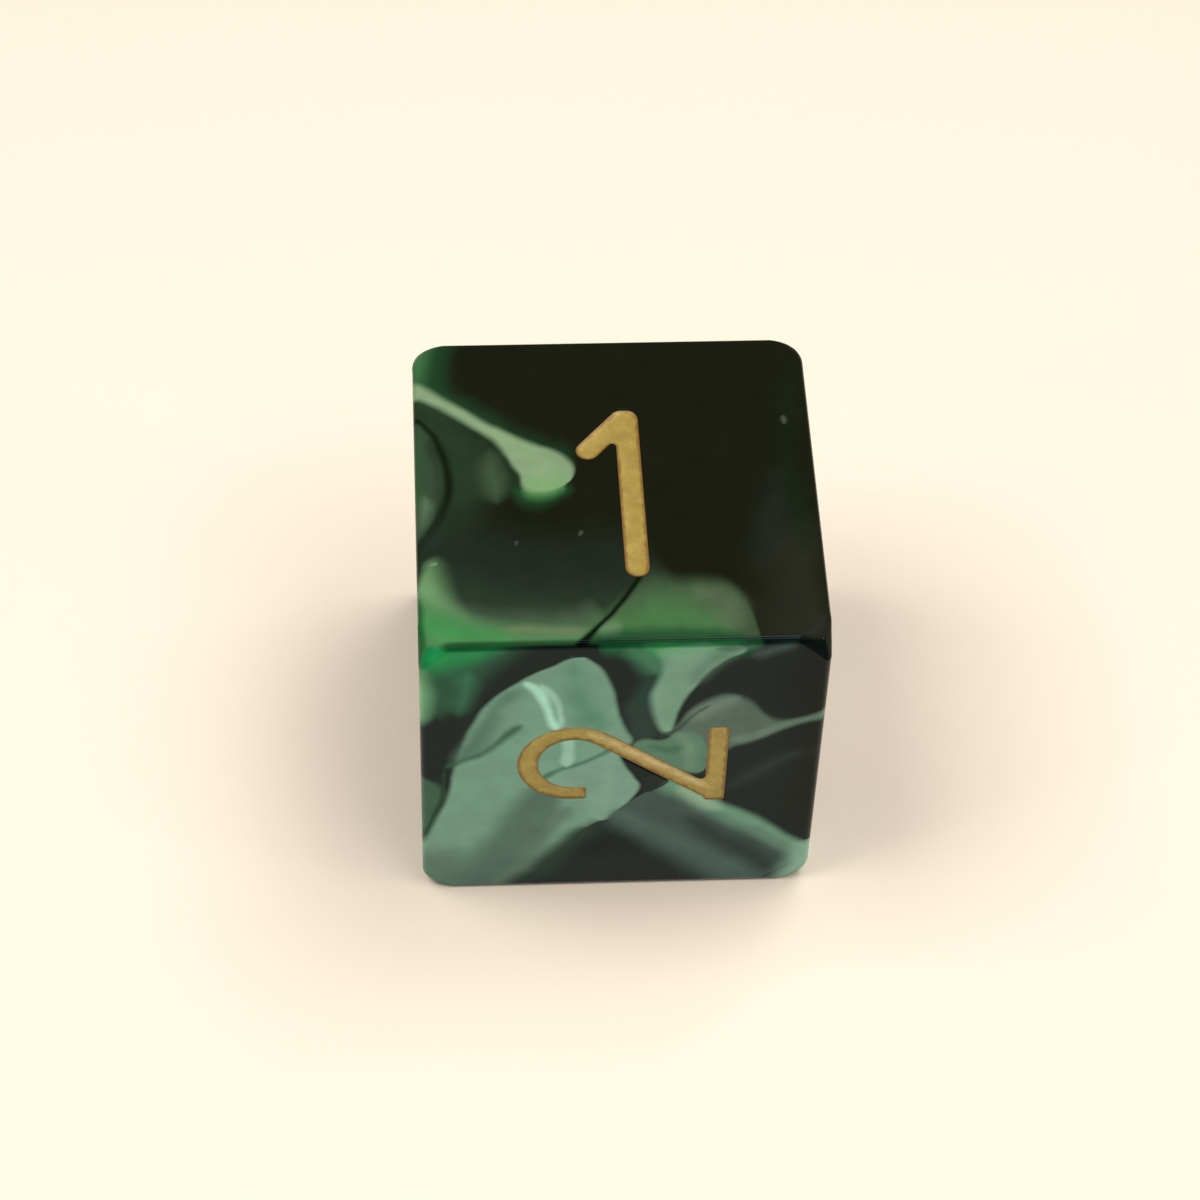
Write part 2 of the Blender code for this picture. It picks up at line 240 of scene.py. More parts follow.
TOP_BASE = (27, 30, 18)
TOP_LAYERS = (
    # The upper left corner, and the haze below it.
    Patch(
        90, [(-9, 4.5), (-9, 9)], [(-6.9, 4.5), (-6.8, 5.2), (-6.7, 6), (-6.6, 7), (-6.5, 9)],
        (34, 66, 37), 0.1, 1.2,
    ),
    Patch(
        90, [(-9, 4.5), (-9, 9)], [(-7.5, 4.5), (-7.5, 5.2), (-7.5, 6), (-7.4, 7), (-7.3, 9)],
        (64, 110, 66), 0.1, 0.8,
    ),
    Patch(
        90, [(-9, -6), (-9, 5)],
        [(-6.9, -6), (-6.5, -3), (-5.7, -1), (-4.4, 0.3), (-4.1, 1.4), (-5.2, 3), (-6.4, 5)],
        (40, 60, 38), below=2.8, strength=0.95,
    ),
    Vein(
        -80, [(-4.95, 1.8, 0.2), (-4.9, 1.1, 0.7), (-4.8, 0.3, 0.8), (-4.8, -0.4, 0.4)],
        (66, 88, 60), 1.1, 0.95, 0.8,
    ),
    # The lens on the left, with the dark line that closes it.
    Patch(
        90, [(-9, -3.6), (-9, 3.8)],
        [(-8.0, -3.4), (-7.1, -2.0), (-6.8, -0.4), (-6.8, 1.0), (-7.1, 2.3), (-7.9, 3.7)],
        (54, 76, 52), below=0.7,
    ),
    Vein(
        90, [(-7.3, -2.6, 0.1), (-7.05, -0.6, 0.2), (-7.1, 1.2, 0.2), (-7.4, 2.6, 0.1)],
        (38, 52, 36), 0.5, 0.7,
    ),
    Vein(90, [(-7.95, -2.6, 0.3), (-7.65, -1.5, 0.5), (-7.6, -0.6, 0.3)], (96, 124, 90), 0.7, 0.9, 0.7),
    Vein(90, [(-8.0, -1.0, 0.3), (-7.95, 1.0, 0.3), (-8.0, 3.0, 0.2)], (52, 92, 52), 0.6, 0.8, 0.8),
    Vein(
        90,
        [
            (-8.2, -3.7, 0.40), (-7.9, -3.0, 0.42), (-7.5, -2.35, 0.42), (-7.1, -1.65, 0.40),
            (-6.82, -0.9, 0.38), (-6.66, 0.0, 0.36), (-6.67, 0.8, 0.34), (-6.85, 1.8, 0.32),
            (-7.1, 2.6, 0.30), (-7.55, 3.35, 0.26), (-8.05, 3.9, 0.2),
        ],
        (20, 31, 15), 0.34,
    ),
    # The grey-green gradient towards the near edge.
    Patch(
        0, [(-7.6, -4.6), (-4, -5.2), (-2, -5.4), (0.4, -5.0), (1.2, -4.7)], [(-7.6, -9), (1.2, -9)],
        (64, 86, 62), 2.6, 0.1, 1.0, 1.6,
    ),
    Patch(
        0, [(-7.6, -1.6), (-3, -2.8), (0.6, -3.0)], [(-7.6, -9), (0.6, -9)],
        (36, 46, 35), 3.0, 0.1, 0.8, 1.4,
    ),
    Patch(
        0, [(-7.2, -5.5), (-6, -6.1), (-5, -6.35), (-4, -6.4), (-3, -6.4), (-2, -6.35), (-1.2, -6.1)],
        [(-7.2, -9), (-1.2, -9)], (74, 98, 70), 1.3, strength=0.9, ends=0.9,
    ),
    # The light hook of the lower left corner.
    Patch(
        90, [(-8.2, -9), (-8.15, -5.5), (-7.95, -4.8), (-7.7, -4.2), (-7.5, -3.6)],
        [
            (-5.5, -9), (-6.25, -7.2), (-6.6, -6.3), (-6.9, -5.6), (-7.05, -4.8), (-7.25, -4.2),
            (-7.45, -3.6),
        ],
        (112, 154, 104), 0.5, 1.5, ends=1.5,
    ),
    Patch(
        0,
        [
            (-8.5, -5.4), (-7, -6.1), (-6, -6.6), (-5, -6.9), (-4, -7.1), (-3, -7.2), (-2, -7.25),
            (-1.2, -7.4),
        ],
        [(-8.5, -9), (-1.0, -9)], (86, 132, 84), 1.1,
    ),
    Vein(
        -8, [(-7.6, -6.9, 1.0), (-6.8, -7.2, 1.0), (-5.8, -7.4, 0.6), (-4.6, -7.7, 0.2)],
        (66, 146, 78), 1.3, 0.85, 1.0,
    ),
    Vein(
        -3, [(-4.6, -7.15, 0.1), (-3.4, -7.2, 0.3), (-2.2, -7.3, 0.3), (-1.6, -7.3, 0.2)],
        (114, 130, 92), 0.5, 0.8, 0.9,
    ),
    Vein(90, [(-7.95, -8, 0.3), (-7.92, -6.8, 0.3), (-7.95, -5.6, 0.1)], (30, 96, 48), 0.3, 0.9),
    # The green patch right of the thin dark line.
    Patch(
        0,
        [
            (-1.6, -7.6), (-0.6, -6.5), (0.3, -5.4), (0.9, -4.8), (2, -4.9), (3.3, -4.95), (4.0, -5.1),
            (4.5, -5.6), (4.9, -6.4), (5.1, -7.3),
        ],
        [(-1.6, -9), (5.2, -9)], (68, 92, 62), 1.1,
    ),
    Patch(
        0, [(-1.4, -7.3), (0.4, -6.3), (1.2, -5.85), (2.2, -5.9), (3, -6.2), (3.9, -6.9)],
        [(-1.4, -9), (4.0, -9)], (76, 120, 71), 1.8, ends=0.8,
    ),
    Vein(-50, [(3.0, -5.5, 0.6), (3.8, -6.1, 1.1), (4.3, -6.9, 0.9)], (87, 106, 76), 1.6, 0.9, 0.9),
    Vein(
        0, [(-1.2, -7.7, 0.5), (0.6, -7.6, 0.7), (2.6, -7.6, 0.6), (4.2, -7.7, 0.4)],
        (36, 78, 46), 0.7, 0.9, 1.2,
    ),
    Vein(8, [(-1.0, -7.2, 0.2), (-0.7, -7.15, 0.4), (-0.3, -7.1, 0.2)], (106, 136, 100), 0.9, 0.9, 0.4),
    Vein(
        54,
        [
            (-1.95, -8.3, 0.5), (-1.55, -7.7, 0.32), (-1.1, -7.12, 0.22), (-0.5, -6.44, 0.2),
            (-0.1, -5.94, 0.2), (0.2, -5.48, 0.2), (0.48, -5.0, 0.2), (0.7, -4.6, 0.2),
        ],
        (14, 26, 12), 0.2,
    ),
    # The shades of the right side.
    Patch(
        90, [(5.4, -9), (5.6, -5), (6.2, -2)], [(7.9, -9), (7.7, -5), (7.6, -2)],
        (46, 48, 38), 3.0, 1.6, 0.7, 3.5,
    ),
    Vein(75, [(5.6, -3.4, 0.2), (6.1, -1.8, 0.6), (6.6, 0.2, 0.3)], (37, 42, 34), 2.4, 0.9, 2.5),
    Vein(90, [(7.2, -3, 0.3), (7.0, 2.0, 0.6), (7.5, 6.0, 0.3)], (24, 38, 22), 1.2, 0.7, 1.5),
    # The sage streak in a green glow.
    Vein(
        -38, [(-8, 5.7, 0.1), (-6, 4.5, 0.1), (-4.4, 3.1, 0.3), (-3.3, 1.6, 1.7), (-2.6, 0.9, 2.2)],
        (34, 74, 42), 1.7, 0.9, 1.1,
    ),
    Vein(-14, [(-3.8, -0.1, 0.7), (-2.9, -0.35, 1.0), (-2.1, -0.05, 0.6)], (36, 84, 45), 1.4, 0.9, 0.8),
    Vein(-14, [(-3.6, -0.1, 0.3), (-2.9, -0.25, 0.6), (-2.2, 0.0, 0.4)], (78, 130, 74), 0.8, 0.9, 0.4),
    Patch(
        -40,
        [
            (-8.6, 5.95), (-7.7, 5.62), (-7.2, 5.25), (-6.9, 4.98), (-6, 4.32), (-5.5, 3.88), (-5, 3.46),
            (-4, 2.82), (-3, 2.24), (-2.3, 1.88), (-1.95, 1.56), (-1.7, 1.12), (-1.68, 0.7), (-1.85, 0.25),
        ],
        [
            (-8.6, 5.1), (-7.7, 4.85), (-7, 4.42), (-6, 3.62), (-5, 2.75), (-4.6, 2.25), (-4.3, 1.72),
            (-4.08, 1.2), (-3.85, 0.75), (-3.75, 0.25), (-3.5, -0.05), (-2.9, -0.15), (-2.25, 0.02),
        ],
        (136, 163, 121), 0.42, 0.44,
    ),
    Vein(-12, [(-3.5, 0.25, 0.3), (-2.9, 0.15, 0.5), (-2.1, 0.4, 0.3)], (124, 170, 110), 1.0, 0.9, 0.4),
    Vein(
        -60, [(-4.4, 1.7, 0.1), (-4.18, 1.05, 0.22), (-4.0, 0.6, 0.3), (-3.95, 0.1, 0.2)],
        (34, 52, 30), 0.3, 0.8,
    ),
    # Specks.
    Vein(80, [(6.93, 3.2, 0.1), (6.95, 3.6, 0.14)], (76, 82, 66), 0.2, 0.9, 0.15),
    Vein(60, [(-1.6, -2.5, 0.06), (-1.48, -2.25, 0.1)], (70, 78, 60), 0.12, 0.9, 0.1),
    Vein(90, [(-4.1, -2.95, 0.06), (-4.1, -2.7, 0.1)], (66, 74, 58), 0.12, 0.9, 0.1),
    Vein(20, [(-7.45, -3.85, 0.08), (-7.2, -3.75, 0.1)], (120, 150, 105), 0.15, 0.9, 0.1),
)

# A painted highlight: a brighter streak on the paint of the 2, in the highlight's colour.
PAINTED_HIGHLIGHT_ON_TWO = Vein(
    -38,
    [
        (-1.3, 2.2, 0.1), (-0.6, 1.8, 0.22), (0.4, 1.0, 0.3), (1.6, 0.05, 0.32), (3.0, -1.05, 0.28),
        (3.5, -1.45, 0.1),
    ],
    (), 0.4,
)

FRONT_BASE = (33, 41, 34)
FRONT_LAYERS = (
    # The shades of the dark resin.
    Vein(0, [(-3, -7.6, 1.6), (3, -7.4, 1.6)], (46, 52, 43), 2.4, 0.9, 2.0),
    Vein(90, [(7.5, -4, 1.0), (7.5, 0, 1.2), (7.2, 7, 1.6)], (26, 32, 25), 2.4, 0.9, 2.0),
    # The green of the upper left corner.
    Patch(
        90, [(-9, 4.6), (-9, 9)], [(-6.5, 4.6), (-5.9, 5.6), (-5.1, 6.6), (-4.2, 7.6), (-3.4, 9)],
        (46, 80, 56), 0.1, 1.8, ends=2.4,
    ),
    Vein(90, [(-7.1, 3.9, 0.2), (-7.0, 5.2, 0.9), (-7.0, 6.6, 1.0)], (45, 82, 56), 1.2, 0.85, 1.2),
    Vein(84, [(-6.4, 4.0, 0.2), (-6.2, 5.0, 0.4), (-6.1, 6.2, 0.3)], (64, 120, 82), 1.1, 0.7, 0.8),
    Vein(
        -12, [(-9, 7.2, 1.6), (-7.4, 7.3, 1.4), (-6.2, 7.5, 1.1), (-5.2, 7.9, 0.5)],
        (42, 138, 72), 1.9, 0.95, 1.2,
    ),
    Vein(
        90, [(-8.0, 3.4, 0.3), (-7.85, 4.6, 0.6), (-7.95, 5.8, 0.5), (-8.1, 6.8, 0.2)],
        (112, 160, 110), 0.9, 0.9, 0.9,
    ),
    Vein(90, [(-7.95, 6.6, 0.1), (-7.9, 7.3, 0.5), (-7.8, 8.0, 0.6)], (26, 96, 52), 0.6, 0.85, 0.3),
    # The left edge.
    Patch(
        90, [(-9, -4.4), (-9, -0.9)], [(-7.75, -4.4), (-7.35, -2.6), (-7.3, -0.9)],
        (66, 98, 70), 0.1, 0.6, 0.85, 1.4,
    ),
    # The large sage patch and what shows through it.
    Patch(
        90,
        [
            (-9.0, -8.5), (-8.3, -5.6), (-7.8, -4.3), (-7.4, -3.2), (-7.05, -2.1), (-6.84, -1.0),
            (-6.7, 0.0), (-6.5, 1.0), (-6.2, 2.2), (-5.85, 3.3), (-5.42, 4.3), (-4.9, 5.05), (-4.2, 5.72),
            (-3.45, 6.3), (-2.75, 6.75), (-2.1, 7.2),
        ],
        [
            (-4.5, -8.5), (-4.0, -7.8), (-3.1, -6.6), (-2.4, -5.6), (-1.8, -4.6), (-1.25, -3.85),
            (-0.6, -3.35), (0.1, -2.6), (0.45, -1.9), (0.76, -1.2), (0.5, -0.5), (0.15, 0.2), (-0.05, 0.9),
            (0.25, 1.4), (0.42, 2.0), (0.2, 2.5), (-0.1, 3.3), (-0.3, 4.2), (-0.5, 5.2), (-0.72, 5.95),
            (-1.0, 6.6), (-1.35, 7.0), (-1.75, 7.3),
        ],
        (112, 148, 117), 0.3, 0.3, ends=0.15,
    ),
    Patch(
        90, [(-6.5, 0.6), (-6.1, 2.2), (-5.3, 3.9), (-4.4, 5.3)],
        [(-5.9, 1.0), (-5.1, 2.5), (-4.8, 4.0), (-4.3, 5.3)], (80, 110, 86), 0.9, 1.2, 0.95, 1.0,
    ),
    Vein(
        -80, [(-2.0, 6.8, 0.3), (-1.9, 5.6, 0.6), (-1.6, 4.2, 0.9), (-1.0, 2.8, 0.9)],
        (90, 132, 99), 1.2, 0.9, 1.0,
    ),
    Patch(
        0, [(-8.5, -5.4), (-6, -5.6), (-4, -6.3)], [(-8.5, -9), (-4, -9)],
        (90, 116, 92), 2.4, 0.1, 1.0, 0.8,
    ),
    Patch(
        90, [(-6.2, -8.5), (-5.9, -6), (-5.3, -4.4), (-4.7, -3), (-4.1, -1.9), (-3.6, -1.1)],
        [(-4.9, -8.5), (-4.2, -6.6), (-3.3, -5.0), (-2.7, -3.7), (-2.4, -2.4), (-2.6, -1.2)],
        (82, 107, 87), 1.4, 0.7, 0.95,
    ),
    Vein(
        64,
        [(-4.9, -8.4, 1.0), (-4.2, -6.9, 0.9), (-3.35, -5.2, 0.8), (-2.7, -3.9, 0.5), (-2.1, -2.6, 0.3)],
        (90, 112, 90), 0.9, 0.85,
    ),
    Patch(
        66, [(-4.6, -8.4), (-3.6, -6.6), (-2.5, -5.0), (-1.5, -3.9)],
        [(-3.4, -8.4), (-2.2, -6.6), (-1.4, -5.2), (-0.7, -4.2)], (40, 50, 41), 0.9, 1.0, 0.9,
    ),
    Vein(
        56, [(-3.4, -7.4, 0.3), (-2.0, -5.2, 0.4), (-1.2, -4.0, 0.4), (-0.7, -3.5, 0.1)],
        (50, 66, 52), 1.0, 0.8,
    ),
    # The light patch in the middle.
    Patch(
        90,
        [
            (-0.7, -3.5), (-1.2, -3.0), (-1.6, -2.1), (-2.5, -1.3), (-2.95, -0.7), (-2.7, -0.2),
            (-2.0, 0.2), (-1.2, 0.6), (-0.6, 1.15),
        ],
        [(-0.4, -3.4), (0.25, -2.3), (0.72, -1.2), (0.4, -0.4), (0.05, 0.3), (-0.35, 1.15)],
        (119, 152, 124), 0.3, 0.25, 0.9,
    ),
    # Fine lines and the forked light streak.
    Vein(
        40,
        [
            (-6.9, 0.4, 0.2), (-6.2, 0.85, 0.24), (-5.65, 1.15, 0.22), (-5.2, 1.55, 0.22),
            (-4.8, 2.1, 0.34), (-4.4, 2.6, 0.42), (-4.05, 2.95, 0.2),
        ],
        (54, 88, 63), 0.42, 0.9,
    ),
    Vein(
        33,
        [
            (-3.1, -0.5, 0.22), (-2.5, 0.0, 0.18), (-2.0, 0.22, 0.18), (-1.5, 0.48, 0.18),
            (-1.0, 0.85, 0.16), (-0.4, 1.3, 0.1),
        ],
        (60, 102, 74), 0.3, 0.85,
    ),
    Vein(
        -75,
        [
            (-3.85, 5.7, 0.3), (-3.45, 5.3, 0.5), (-3.15, 4.7, 0.42), (-2.95, 4.0, 0.34),
            (-2.82, 3.3, 0.32), (-2.6, 2.75, 0.3),
        ],
        (166, 212, 177), 0.36, 0.9, 0.2,
    ),
    Vein(
        -65,
        [(-3.2, 5.5, 0.2), (-2.8, 4.95, 0.3), (-2.55, 4.3, 0.26), (-2.45, 3.6, 0.22), (-2.4, 3.0, 0.2)],
        (154, 196, 162), 0.3, 0.75,
    ),
    Vein(-88, [(-2.15, 2.0, 0.36), (-2.15, 1.3, 0.44), (-2.18, 0.4, 0.38)], (150, 190, 158), 0.32, 0.8),
    # The dark ribbon, the emerald along the upper edge and the finger that hangs from it.
    Patch(
        90, [(0.5, 2.0), (0.2, 3.2), (0.2, 4.4)], [(1.2, 2.0), (1.2, 3.2), (1.1, 4.4)],
        (48, 64, 52), 0.7, 0.4, 0.8, 0.9,
    ),
    Patch(
        90, [(0.5, 4.4), (0.6, 5.8), (0.3, 7.0)], [(1.6, 4.4), (1.6, 5.8), (1.6, 7.0)],
        (38, 64, 50), 0.7, 0.5, 0.9, 0.9,
    ),
    Patch(
        0, [(-1.0, 9), (5.2, 9)], [(-1.0, 7.8), (-0.2, 7.5), (0.8, 7.0), (1.6, 7.0), (3, 7.3), (5.2, 7.8)],
        (40, 110, 64), 0.1, 1.4,
    ),
    Patch(
        90,
        [
            (1.75, 2.2), (1.42, 2.7), (1.22, 3.4), (1.08, 4.2), (1.08, 4.9), (1.28, 5.6), (1.4, 6.3),
            (1.34, 7.0), (1.2, 7.6),
        ],
        [
            (1.85, 2.2), (2.0, 2.8), (2.1, 3.4), (2.25, 4.1), (2.48, 4.75), (2.75, 5.3), (3.05, 5.85),
            (3.42, 6.35), (3.9, 6.9), (4.6, 7.6),
        ],
        (115, 150, 117), 0.45, 0.26, ends=0.35,
    ),
    Vein(65, [(2.6, 5.6, 0.3), (3.2, 6.6, 0.7), (3.9, 7.5, 0.6)], (92, 122, 93), 1.0, 0.8, 0.9),
    Vein(-60, [(0.2, 7.6, 0.3), (0.8, 7.1, 0.8), (1.25, 6.3, 0.5)], (74, 120, 82), 1.1, 0.85, 0.6),
    Patch(
        0, [(0.9, 9), (4.4, 9)], [(0.9, 7.7), (3.0, 7.75), (4.4, 7.9)], (76, 154, 90), 0.1, 1.4, 0.9, 0.9,
    ),
    Vein(10, [(3.6, 7.55, 0.2), (4.4, 7.6, 0.3), (5.0, 7.8, 0.2)], (74, 98, 76), 0.4, 0.8),
    Vein(25, [(5.0, 7.1, 0.2), (5.7, 7.45, 0.4), (6.4, 7.75, 0.3)], (76, 88, 80), 0.7, 0.7, 0.5),
    # The grey-green dome with its light tail.
    Patch(
        0,
        [
            (1.9, 2.3), (2.25, 3.0), (2.55, 3.6), (3.0, 4.15), (3.5, 4.5), (4.1, 4.68), (4.7, 4.45),
            (5.25, 3.9), (5.7, 3.25), (6.2, 2.92), (7.1, 3.04), (8.5, 3.5),
        ],
        [
            (1.9, 2.1), (2.5, 1.0), (3.2, 0.6), (4.0, 0.95), (4.5, 1.35), (5.2, 1.66), (6.0, 2.15),
            (7.0, 2.75), (8.5, 3.4),
        ],
        (85, 102, 84), 0.6, 0.4,
    ),
    Vein(40, [(2.8, 3.2, 0.3), (3.6, 4.0, 0.6), (4.3, 4.4, 0.4)], (108, 126, 105), 0.9, 0.9, 0.7),
    Vein(
        28, [(4.4, 1.7, 0.3), (5.3, 2.05, 0.4), (6.3, 2.65, 0.32), (7.3, 3.08, 0.24), (8.5, 3.55, 0.22)],
        (98, 121, 98), 0.35, 0.85,
    ),
    Vein(
        52,
        [(1.55, 2.18, 0.3), (2.05, 2.45, 0.18), (2.45, 2.95, 0.12), (2.85, 3.5, 0.08), (3.3, 4.0, 0.04)],
        (44, 62, 46), 0.24, 0.85,
    ),
    Patch(
        0,
        [
            (0.5, 1.7), (0.9, 1.95), (1.5, 1.85), (2.0, 2.15), (2.5, 2.4), (3.0, 2.15), (3.3, 1.5),
            (3.45, 0.9),
        ],
        [(0.5, 1.4), (1.4, 0.6), (2.0, 0.1), (2.6, -0.3), (3.2, -0.3), (3.45, 0.3)],
        (88, 122, 92), 0.35, 0.25,
    ),
    Vein(15, [(1.2, 1.45, 0.1), (1.9, 1.2, 0.4), (2.5, 1.35, 0.2)], (68, 102, 76), 0.6, 0.9),
    Vein(
        -80, [(2.2, 2.2, 0.3), (2.55, 1.6, 0.4), (2.75, 0.7, 0.5), (2.8, 0.0, 0.4)],
        (106, 136, 104), 0.6, 0.8,
    ),
    # The dark right side.
    Vein(
        38, [(4.6, -1.2, 0.1), (5.5, -0.4, 0.3), (6.5, 0.5, 0.2), (7.6, 1.0, 0.1)],
        (52, 58, 50), 1.1, 0.9, 1.0,
    ),
    Vein(80, [(7.2, -2.5, 0.3), (7.4, 0.0, 0.4), (7.5, 2.0, 0.3)], (32, 35, 27), 1.0, 0.8, 1.0),
    # The light band of the lower right and the greys below it.
    Patch(
        -45, [(1.2, -1.5), (2.1, -1.0), (4.0, -2.6), (6.0, -4.2), (8.6, -6.6)],
        [(-0.5, -3.4), (0.6, -4.6), (2.2, -6.3), (3.6, -7.7), (4.6, -8.9)], (66, 82, 70), 0.5, 1.2,
    ),
    Vein(
        -44, [(-0.1, -2.9, 0.3), (0.9, -3.8, 0.7), (2.4, -5.0, 0.9), (3.8, -6.2, 1.1), (5.6, -8.2, 1.4)],
        (78, 100, 84), 1.1, 0.85, 0.7,
    ),
    Vein(
        -44, [(2.8, -3.5, 0.2), (4.2, -4.9, 0.9), (5.4, -5.9, 1.1), (6.3, -7.0, 0.7)],
        (46, 57, 48), 1.2, 0.9, 1.0,
    ),
    Patch(
        -42,
        [
            (1.7, -0.55), (2.4, -0.9), (3.3, -1.78), (4.0, -2.36), (4.8, -2.88), (5.6, -3.42), (6.3, -4.1),
            (7.0, -4.8), (7.8, -5.5), (8.6, -6.25),
        ],
        [
            (1.6, -1.2), (2.4, -1.9), (3.5, -2.95), (4.5, -3.8), (5.5, -4.5), (6.5, -5.35), (7.2, -6.1),
            (7.9, -6.9),
        ],
        (103, 141, 109), 0.55, 1.1,
    ),
    Vein(-42, [(5.4, -4.2, 0.2), (6.3, -4.9, 0.5), (7.0, -5.6, 0.3)], (92, 118, 97), 0.8, 0.7, 0.7),
    Vein(-42, [(2.4, -1.4, 0.2), (3.1, -2.0, 0.6), (4.0, -2.8, 0.3)], (140, 168, 130), 0.8, 0.9, 0.6),
    Patch(
        -84, [(8.9, -5.5), (8.9, -8.6)], [(7.5, -5.4), (7.2, -6.4), (6.8, -7.4), (6.4, -8.6)],
        (134, 168, 138), 0.1, 1.4, 0.9, 0.8,
    ),
    Patch(
        -60, [(1.8, -0.3), (2.0, -0.8), (1.2, -1.6)], [(0.9, -0.5), (0.95, -1.2), (1.0, -1.6)],
        (38, 46, 38), 0.25, 0.25, 0.9,
    ),
    # The thin line down the left edge.
    Vein(
        -80,
        [
            (-7.05, 0.2, 0.06), (-7.15, -1.0, 0.12), (-7.3, -2.2, 0.14), (-7.65, -3.4, 0.14),
            (-8.1, -4.6, 0.1),
        ],
        (40, 62, 44), 0.2, 0.9,
    ),
)


# The strokes of the numerals, drawn upright, x to the right and y up. A stroke is a list of
# points, and strokes that share an end point are joined there.


def arc(centre, radii, start, end, step=6.0):
    """Points along an ellipse from one angle to another, in degrees."""
    steps = math.ceil(abs(end - start) / step)
    angles = np.radians(np.linspace(start, end, steps + 1))
    return [(centre[0] + radii[0] * math.cos(a), centre[1] + radii[1] * math.sin(a)) for a in angles]


def numeral_one():
    shoulder, stem_top = (0.38, TOP_LINE - 0.20), (0.57, TOP_LINE - 0.20)
    return [[(-1.06, 1.98), shoulder, stem_top], [stem_top, (0.62, -4.15)]]


def numeral_two():
    hook, foot = (-1.58, 1.36), (-1.90, BASE_LINE)
    bowl = arc((0.36, 1.90), (1.97, 1.84), 176, -36)
    return [[hook] + bowl + [foot], [(-2.30, BASE_LINE), (2.56, BASE_LINE)]]


def numeral_three():
    upper = arc((0.0, 2.03), (1.85, 1.78), 158, -90)
    lower = arc((0.0, -1.82), (2.20, 2.07), 90, -155)
    return [upper, lower]


def numeral_four():
    peak, elbow = (0.95, TOP_LINE), (-2.35, -1.40)
    return [[peak, elbow], [elbow, (2.45, -1.40)], [peak, (0.95, -4.05)]]


def numeral_five():
    shoulder = (-1.30, TOP_LINE)
    bowl = arc((0.0, -1.62), (2.25, 2.28), 133, -148)
    return [[(2.05, TOP_LINE), shoulder], [shoulder, bowl[0]], bowl]


def numeral_six():
    centre, radii = (0.05, -1.85), (2.10, 2.05)
    tail = arc((centre[0] - radii[0] + 3.95, centre[1]), (3.95, 5.90), 102, 180)
    return [tail, arc(centre, radii, 180, -180)]


# Each numeral's strokes, the side it is on, the way its top points, the width of its strokes and
# whether their ends are cut square.
NUMERALS = {
    1: (numeral_one, (0, 0, 1), (0, 1, 0), STROKE_OF_ONE, False),
    2: (numeral_two, (0, -1, 0), (-1, 0, 0), STROKE_OF_TWO, True),
    3: (numeral_three, (1, 0, 0), (0, 0, 1), STROKE, False),
    4: (numeral_four, (-1, 0, 0), (0, 1, 0), STROKE, False),
    5: (numeral_five, (0, 1, 0), (1, 0, 0), STROKE, False),
    6: (numeral_six, (0, 0, -1), (0, 1, 0), STROKE, False),
}


def face_axes(number):
    """A face's right, top and outward directions, as the rows of a matrix."""
    outward, top = np.array(NUMERALS[number][1], float), np.array(NUMERALS[number][2], float)
    return np.array((np.cross(top, outward), top, outward))


# Distance to a numeral's outline


def line_distances(points, a, b):
    """How far each point is from each of several segments, as a row for each point."""
    way = b - a
    from_a = points[:, None, :] - a
    share = np.clip((from_a * way).sum(axis=2) / (way * way).sum(axis=1), 0.0, 1.0)
    return np.linalg.norm(from_a - share[:, :, None] * way, axis=2)


def cut_distance(points, a, b, half):
    """The distance outside a straight stretch of stroke with square ends, a little rounded."""
    length = np.linalg.norm(b - a)
    way = (b - a) / length
    from_middle = points - (a + b) / 2
    along = np.abs(from_middle @ way) - length / 2 + CUT_ROUND
    across = np.abs(from_middle @ np.array((-way[1], way[0]))) - half + CUT_ROUND
    corner = np.hypot(np.maximum(along, 0.0), np.maximum(across, 0.0))
    return corner + np.minimum(np.maximum(along, across), 0.0) - CUT_ROUND


def stroke_distance(points, stroke, half, cut):
    """The distance outside a stroke, whose two end stretches are cut square or round."""
    stroke = np.array(stroke, float)
    found = []
    if cut:
        found += [cut_distance(points, *stroke[:2], half), cut_distance(points, *stroke[-2:], half)]
        stroke = stroke[1:-1]
    if len(stroke) > 1:
        found.append(line_distances(points, stroke[:-1], stroke[1:]).min(axis=1) - half)
    return np.min(found, axis=0)


def crossing_cells(values):
    """Yields the pairs of grid edges that a contour at 0 joins, each edge as (column, row, axis)."""
    inside = values < 0
    count = inside[:-1, :-1].astype(int) + inside[1:, :-1] + inside[:-1, 1:] + inside[1:, 1:]
    for i, j in zip(*np.nonzero((count > 0) & (count < 4))):
        sides = [
            ((i, j, 0), inside[i, j] != inside[i + 1, j]),
            ((i + 1, j, 1), inside[i + 1, j] != inside[i + 1, j + 1]),
            ((i, j + 1, 0), inside[i, j + 1] != inside[i + 1, j + 1]),
            ((i, j, 1), inside[i, j] != inside[i, j + 1]),
        ]
        crossed = [side for side, cut in sides if cut]
        if len(crossed) == 4 and inside[i, j] != (values[i : i + 2, j : j + 2].mean() < 0):
            crossed = crossed[1:] + crossed[:1]
        yield from zip(crossed[::2], crossed[1::2])


def traced_loops(values, axis):
    """The closed contours at 0 of values on a square grid, as arrays of points."""
    links = {}
    for a, b in crossing_cells(values):
        links.setdefault(a, []).append(b)
        links.setdefault(b, []).append(a)
    loops = []
    while links:
        here = next(iter(links))
        loop = []
        while here in links:
            i, j, way = here
            there = (i + 1, j) if way == 0 else (i, j + 1)
            share = values[i, j] / (values[i, j] - values[there])
            first, second = np.array((axis[i], axis[j])), np.array((axis[there[0]], axis[there[1]]))
            loop.append(first + share * (second - first))
            ahead = [edge for edge in links.pop(here) if edge in links]
            here = ahead[0] if ahead else None
        loops.append(np.array(loop))
    return loops


